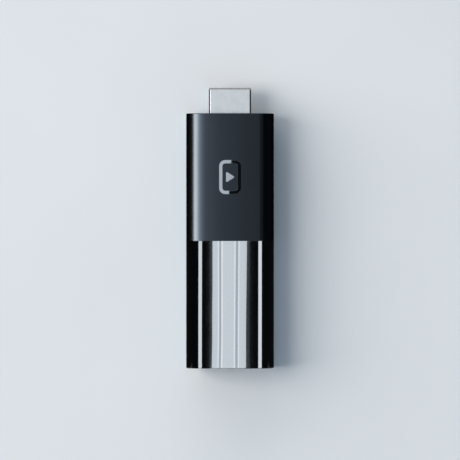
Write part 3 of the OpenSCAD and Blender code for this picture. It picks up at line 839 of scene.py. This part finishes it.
def inside_parts():
    """Finishes what is kept from the CAD. Each entry is (material, slot, rounding of its edges in mm)."""
    chips = chip_mould()
    tin = tin_sheet()
    aluminium = rolled_aluminium()
    gold = gold_contact()
    black = moulded("connector_black", (0.012, 0.0125, 0.014), (0.02, 0.021, 0.024), 0.42)
    ferrite = sintered("ferrite", (0.05, 0.05, 0.053), (0.09, 0.09, 0.095))
    ceramic = sintered("capacitor_ceramic", (0.3, 0.2, 0.12), (0.42, 0.3, 0.19), 0.45)
    pads = silicone("silicone_pad", (0.2, 0.34, 0.5), (0.27, 0.42, 0.58))
    antenna = antenna_metal()
    frame_black = moulded("frame_black", (0.016, 0.017, 0.019), (0.026, 0.027, 0.03), 0.5, 0.4)
    kept = {
        "badge_adhesive": (glue_film(), "badge_glue", 0),
        "inner_frame": (frame_black, "frame_plastic", 0.1),
        "circuit_board": (board_laminate(), "board_laminate", 0.05),
        "board_screws": (screw_steel(), "screw_steel", 0.05),
        "front_heat_spreader": (aluminium, "spreader_sheet", 0.12),
        "back_heat_spreader": (aluminium, "spreader_sheet", 0.12),
        "processor_thermal_pad": (
            silicone("processor_pad", (0.3, 0.35, 0.4), (0.38, 0.43, 0.48)), "processor_pad", 0.08),
        "front_thermal_pad": (pads, "silicone_pad", 0.12),
        "back_thermal_pad": (pads, "silicone_pad", 0.12),
        "shield_fence": (tin, "shield_tin", 0.04),
        "shield_lid": (tin, "shield_tin", 0.05),
        "radio_shield": (tin, "shield_tin", 0.05),
        "main_processor": (chips, "chip_mould", 0.05),
        "memory_chips": (chips, "chip_mould", 0.05),
        "flash_storage": (chips, "chip_mould", 0.05),
        "radio_chip": (chips, "chip_mould", 0.05),
        "power_controller": (chips, "chip_mould", 0.05),
        "power_inductors": (ferrite, "ferrite", 0.1),
        "bulk_capacitors": (ceramic, "capacitor_ceramic", 0.12),
        "ceramic_capacitors": (ceramic, "capacitor_ceramic", 0.06),
        "chip_resistors": (
            sintered("resistor_glaze", (0.01, 0.011, 0.013), (0.022, 0.024, 0.027), 0.3),
            "resistor_glaze", 0.04),
        "clock_crystals": (tin, "crystal_can", 0.1),
        "surge_arrays": (chips, "chip_mould", 0.05),
        "signal_chokes": (ferrite, "ferrite", 0.06),
        "input_fuse": (sintered("fuse_body", (0.6, 0.56, 0.46), (0.7, 0.66, 0.56)), "fuse_body", 0.06),
        "wifi_antenna": (antenna, "antenna_metal", 0.05),
        "short_range_antenna": (antenna, "antenna_metal", 0.05),
        "plug_insulator": (black, "connector_plastic", 0.04),
        "plug_upper_contacts": (gold, "contact_gold", 0.03),
        "plug_lower_contacts": (gold, "contact_gold", 0.03),
        "socket_shell": (tin, "socket_steel", 0.05),
        "socket_insulator": (black, "connector_plastic", 0.04),
        "socket_contacts": (gold, "contact_gold", 0.03),
    }
    for name, (material, slot, edge) in kept.items():
        finish_node(name, material, edge * MM)


# ---- Table, light and camera ----


def table_top():
    """A wide pale table, which fades into the room's colour far from the stick. Polished surfaces
    mirror it dark, as they mirror the rest of the room."""
    made = Surface("table_top", 0.7, Specular_IOR_Level=0.1)
    made.colour(made.noise(60 * MM, 3), *FLOOR_COLOURS)
    made.rough(made.noise(3 * MM, 3), 0.66, 0.74)
    made.bump(made.noise(0.8 * MM, 3), 0.01 * MM, 0.2)
    tree = made.tree
    far = tree.nodes.new("ShaderNodeVectorMath")
    far.operation = "LENGTH"
    tree.links.new(made.place, far.inputs[0])
    rays = tree.nodes.new("ShaderNodeLightPath")
    shader = made.shader.outputs["BSDF"]
    for share, colour in (
        (made.ranged(far.outputs["Value"], 0, 1, *FLOOR_FADE), ROOM_SEEN),
        (rays.outputs["Is Glossy Ray"], [FLOOR_IN_MIRRORS * level for level in ROOM_FILL]),
    ):
        glow = tree.nodes.new("ShaderNodeEmission")
        glow.inputs["Color"].default_value = (*colour, 1)
        mix = tree.nodes.new("ShaderNodeMixShader")
        tree.links.new(share, mix.inputs[0])
        tree.links.new(shader, mix.inputs[1])
        tree.links.new(glow.outputs["Emission"], mix.inputs[2])
        shader = mix.outputs["Shader"]
    tree.links.new(shader, tree.nodes["Material Output"].inputs["Surface"])
    half = FLOOR_W / 2
    mesh = bpy.data.meshes.new("table")
    corners = [(x, y, FLOOR_Z) for x, y in ((-half, -half), (half, -half), (half, half), (-half, half))]
    mesh.from_pydata(corners, [], [(0, 1, 2, 3)])
    mesh.materials.append(made.material)
    table = shown(mesh)
    table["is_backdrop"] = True
    return table


def backdrop():
    """The room: pale where the camera looks past the table, a soft fill, and dark in reflections."""
    world = bpy.data.worlds.new("room")
    bpy.context.scene.world = world
    world.use_nodes = True
    tree = world.node_tree
    output = tree.nodes["World Output"]
    tree.nodes.remove(tree.nodes["Background"])
    rays = tree.nodes.new("ShaderNodeLightPath")
    last = None
    for share, colour, level in (
        (None, ROOM_FILL, ROOM_LEVEL),
        ("Is Glossy Ray", ROOM_FILL, ROOM_IN_MIRRORS),
        ("Is Camera Ray", ROOM_SEEN, 1.0),
    ):
        background = tree.nodes.new("ShaderNodeBackground")
        background.inputs["Color"].default_value = (*colour, 1)
        background.inputs["Strength"].default_value = level
        if share is None:
            last = background.outputs["Background"]
            continue
        mix = tree.nodes.new("ShaderNodeMixShader")
        tree.links.new(rays.outputs[share], mix.inputs[0])
        tree.links.new(last, mix.inputs[1])
        tree.links.new(background.outputs["Background"], mix.inputs[2])
        last = mix.outputs["Shader"]
    tree.links.new(last, output.inputs["Surface"])


def lamp(name, place, right, up, size, radiance, colour, lit):
    """A rectangular soft light that only lights some objects and that the camera doesn't see. It shines
    the opposite way to right x up, and looks as bright as radiance from every direction it shines in."""
    data = bpy.data.lights.new(name, "AREA")
    data.shape = "RECTANGLE"
    data.size, data.size_y = size
    data.energy = radiance * math.pi * size[0] * size[1]
    data.color = colour
    made = bpy.data.objects.new(name, data)
    back = right.cross(up)
    made.matrix_world = Matrix.Translation(place) @ Matrix((right, up, back)).transposed().to_4x4()
    made.visible_camera = False
    bpy.context.scene.collection.objects.link(made)
    receivers = bpy.data.collections.new(name)
    for target in lit:
        receivers.objects.link(target)
    made.light_linking.receiver_collection = receivers
    return made


def mirror_line(x):
    """(where the camera sees the front at x, the direction that it sees mirrored there), in X and Z."""
    if abs(x) < CROWN_END_X:
        tilt = math.asin(x / CROWN_R)
        point = Vector((x, CROWN_Z + CROWN_R * math.cos(tilt)))
    else:
        tilt = math.copysign(math.asin((abs(x) - SIDE_X) / SIDE_R), x)
        point = Vector((x, SIDE_R + SIDE_R * math.cos(tilt)))
    sight = math.atan2(x - CAMERA_AT.x, CAMERA_AT.z - point.y)
    turn = 2 * tilt + sight
    return point, Vector((math.sin(turn), math.cos(turn)))


def strip_lamp(name, edges, radiance, colour, lit, lean=0, length=STRIP_L):
    """A long lamp that the camera sees mirrored in the front between two places across the stick, in
    millimetres. Lean turns it in its own plane, in degrees."""
    ends = [point + LAMP_DISTANCE * direction for point, direction in (mirror_line(x * MM) for x in edges)]
    span = Vector((ends[1].x - ends[0].x, 0, ends[1].y - ends[0].y))
    place = Vector(((ends[0].x + ends[1].x) / 2, 0, (ends[0].y + ends[1].y) / 2))
    right, up = span.normalized(), Vector((0, 1, 0))
    turn = Matrix.Rotation(math.radians(lean), 3, right.cross(up))
    return lamp(name, place, turn @ right, turn @ up, (span.length, length), radiance, colour, lit)


def strip_row(name, edges, levels, colour, lit, lean=0, length=STRIP_L):
    """Strip lamps side by side, each between two neighbouring edges and with its own radiance."""
    for i, level in enumerate(levels):
        strip_lamp(f"{name}_{i}", edges[i : i + 2], level, colour, lit, lean, length)


def edge_lamp(name, x, y, width, radiance, colour, lit, lean):
    """A lamp whose right edge the camera sees mirrored in the front at x and y. Lean turns it in its
    own plane, in degrees."""
    point, direction = mirror_line(x)
    end = point + LAMP_DISTANCE * direction
    end_y = y + LAMP_DISTANCE * (y - CAMERA_AT.y) / (CAMERA_AT.z - point.y)
    back = Vector((direction.x, 0, direction.y))
    up = Vector((0, 1, 0))
    turn = Matrix.Rotation(math.radians(lean), 3, back)
    right = turn @ up.cross(back)
    place = Vector((end.x, end_y, end.y)) - right * width / 2
    return lamp(name, place, right, turn @ up, (width, 2 * width), radiance, colour, lit)


def soft_lamp(name, azimuth, elevation, distance, spread, radiance, colour, lit):
    """A lamp in a direction from the stick, turned to face it. Azimuth 0 is +X and 90 is +Y. Spread is
    the angle that it fills to either side, and above and below."""
    azimuth, elevation = math.radians(azimuth), math.radians(elevation)
    flat = math.cos(elevation)
    away = Vector((flat * math.cos(azimuth), flat * math.sin(azimuth), math.sin(elevation)))
    right = Vector((-math.sin(azimuth), math.cos(azimuth), 0))
    size = [2 * distance * math.tan(math.radians(angle)) for angle in spread]
    return lamp(name, distance * away, right, away.cross(right), size, radiance, colour, lit)


def table_lamp(name, place, radiance, lit):
    """A lamp that lies on the table and shines up, where polished surfaces would mirror the table."""
    right, up = Vector((1, 0, 0)), Vector((0, -1, 0))
    return lamp(name, place, right, up, (GLOW_L, GLOW_L), radiance, DAYLIGHT, lit)


def bounce_lamp(name, x, y, table):
    """The light that a polished side at x, between two places along, throws onto the table left of it."""
    place = Vector((x - GLOW_GAP, (y[0] + y[1]) / 2, BOUNCE_H / 2))
    right, up = Vector((0, 1, 0)), Vector((0, 0, 1))
    return lamp(name, place, right, up, (y[1] - y[0], BOUNCE_H), BOUNCE_LEVEL, BOUNCE_LIGHT, [table])


def table_lights(table):
    """A big key from the left, a lower and wider one behind, and what the stick throws onto the table."""
    for name, azimuth, elevation, spread, radiance in (
        ("key", 174.5, 37, (16, 27), 6.0),
        ("low_key", 118, 16, (40, 16), 3.5),
    ):
        soft_lamp(name, azimuth, elevation, FAR_DISTANCE, spread, radiance, SUNLIGHT, [table])
    bounce_lamp("body_bounce", -HALF_W, (FOOT_Y, HEAD_Y), table)
    bounce_lamp("plug_bounce", PLUG_LOW.x, (HEAD_Y, TIP_Y), table)


def gloss_lights(gloss):
    """A bright window with two glazing bars and soft edges, and a strip to either side."""
    edges = (-5.68, -3.95, -3.45, -2.8, -2.3, 1.4, 1.9, 2.7, 3.15, 5.5)
    levels = (11.4, 14.2, 7, 15, 11.4, 14.2, 7, 14.6, 11.4)
    strip_row("window", edges, levels, BLUE_DAYLIGHT, [gloss], lean=WINDOW_LEAN, length=WINDOW_L)
    strip_lamp("gloss_left", (-10.35, -9.24), 12, BLUE_DAYLIGHT, [gloss], lean=-8, length=WINDOW_L)
    strip_lamp("gloss_right", (9.33, 10.43), 12.5, BLUE_DAYLIGHT, [gloss], lean=-5, length=WINDOW_L)
    strip_lamp("window_left", (-6.7, edges[0]), 0.5, SKYLIGHT, [gloss], length=WINDOW_L)
    strip_lamp("window_right", (edges[-1], 6.5), 0.5, SKYLIGHT, [gloss], length=WINDOW_L)


def matte_lights(matte):
    """A narrow strip low on the left that fades inward, and dimmer light overhead."""
    edges = (-12.65, -12.25, -11.9, -11, -10.6)
    levels = (0.17, 0.62, 2.8, 2.12)
    strip_row("side", edges, levels, WARM_DAYLIGHT, [matte], length=SIDE_LAMP_L)
    edges = (-10.6, -10.1, -9.4, -8.6, -7, -4, 3, 9.8, 10.8)
    levels = (1.27, 0.71, 0.44, 0.3, 0.21, 0.158, 0.11, 0.04)
    strip_row("overhead", edges, levels, DAYLIGHT, [matte])


def metal_lights(badge, plug):
    """Over the plug, flat light with more from the left, and the table to either side of it. The badge's
    left part mirrors a light whose edge lies aslant."""
    strip_lamp("plug_over", (-7.9, 8.2), 0.75, METAL_LIGHT, [plug], length=PLUG_LAMP_L)
    strip_lamp("plug_left", (-9.1, -7.9), 3.6, METAL_LIGHT, [plug], length=PLUG_LAMP_L)
    for name, side in (("left", -1), ("right", 1)):
        place = Vector((side * (HALF_W + GLOW_FAR_GAP + GLOW_L / 2), TIP_Y, GLOW_Z))
        table_lamp(f"plug_{name}_table", place, PLUG_GLOW, [plug])
    radiance = 0.51
    edge_lamp("badge_light", 0, BADGE_Y, BADGE_LAMP_W, radiance, BLUE_DAYLIGHT, [badge], BADGE_LAMP_LEAN)


def end_lights(matte, badge, plug, table):
    """What other views see mirrored in the two ends: for each group of pieces a light, and the table in
    front of it. A group is (name, pieces, radiance, the table's radiance, spread, elevation)."""
    rest = [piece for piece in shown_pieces() if piece not in (matte, badge, plug, table)]
    groups = (
        ("", rest, 1.7, 0.5, (50, 16), 30),
        ("_matte", [matte], 0.55, 0.12, (50, 16), 30),
        ("_metal", [badge, plug], 0.39, 0.35, (60, 32), 42),
    )
    for end, azimuth in (("front", -90), ("back", 90)):
        place = Vector((0, math.copysign(TIP_Y + GLOW_L / 2 + GLOW_GAP, azimuth), GLOW_Z))
        for name, lit, level, table_level, spread, elevation in groups:
            soft_lamp(end + name, azimuth, elevation, END_DISTANCE, spread, level, DAYLIGHT, lit)
            table_lamp(end + name + "_table", place, table_level, lit)


def camera():
    data = bpy.data.cameras.new("camera")
    data.sensor_width = SENSOR_W
    data.lens = SENSOR_W * (CAMERA_AT.z - MID_Z) / VIEW_W
    made = bpy.data.objects.new("camera", data)
    made.location = CAMERA_AT
    data.clip_start, data.clip_end = 0.01, 100
    bpy.context.scene.collection.objects.link(made)
    bpy.context.scene.camera = made


# ---- The scene ----

section = section_curve()
matte_piece = matte_casing(section)
gloss_piece = gloss_casing(section)
badge_piece = badge_inlay()
plug_piece = plug_shell()
inside_parts()
table = table_top()
backdrop()
table_lights(table)
gloss_lights(gloss_piece)
matte_lights(matte_piece)
metal_lights(badge_piece, plug_piece)
end_lights(matte_piece, badge_piece, plug_piece, table)
camera()
bpy.context.scene.view_settings.view_transform = "Standard"
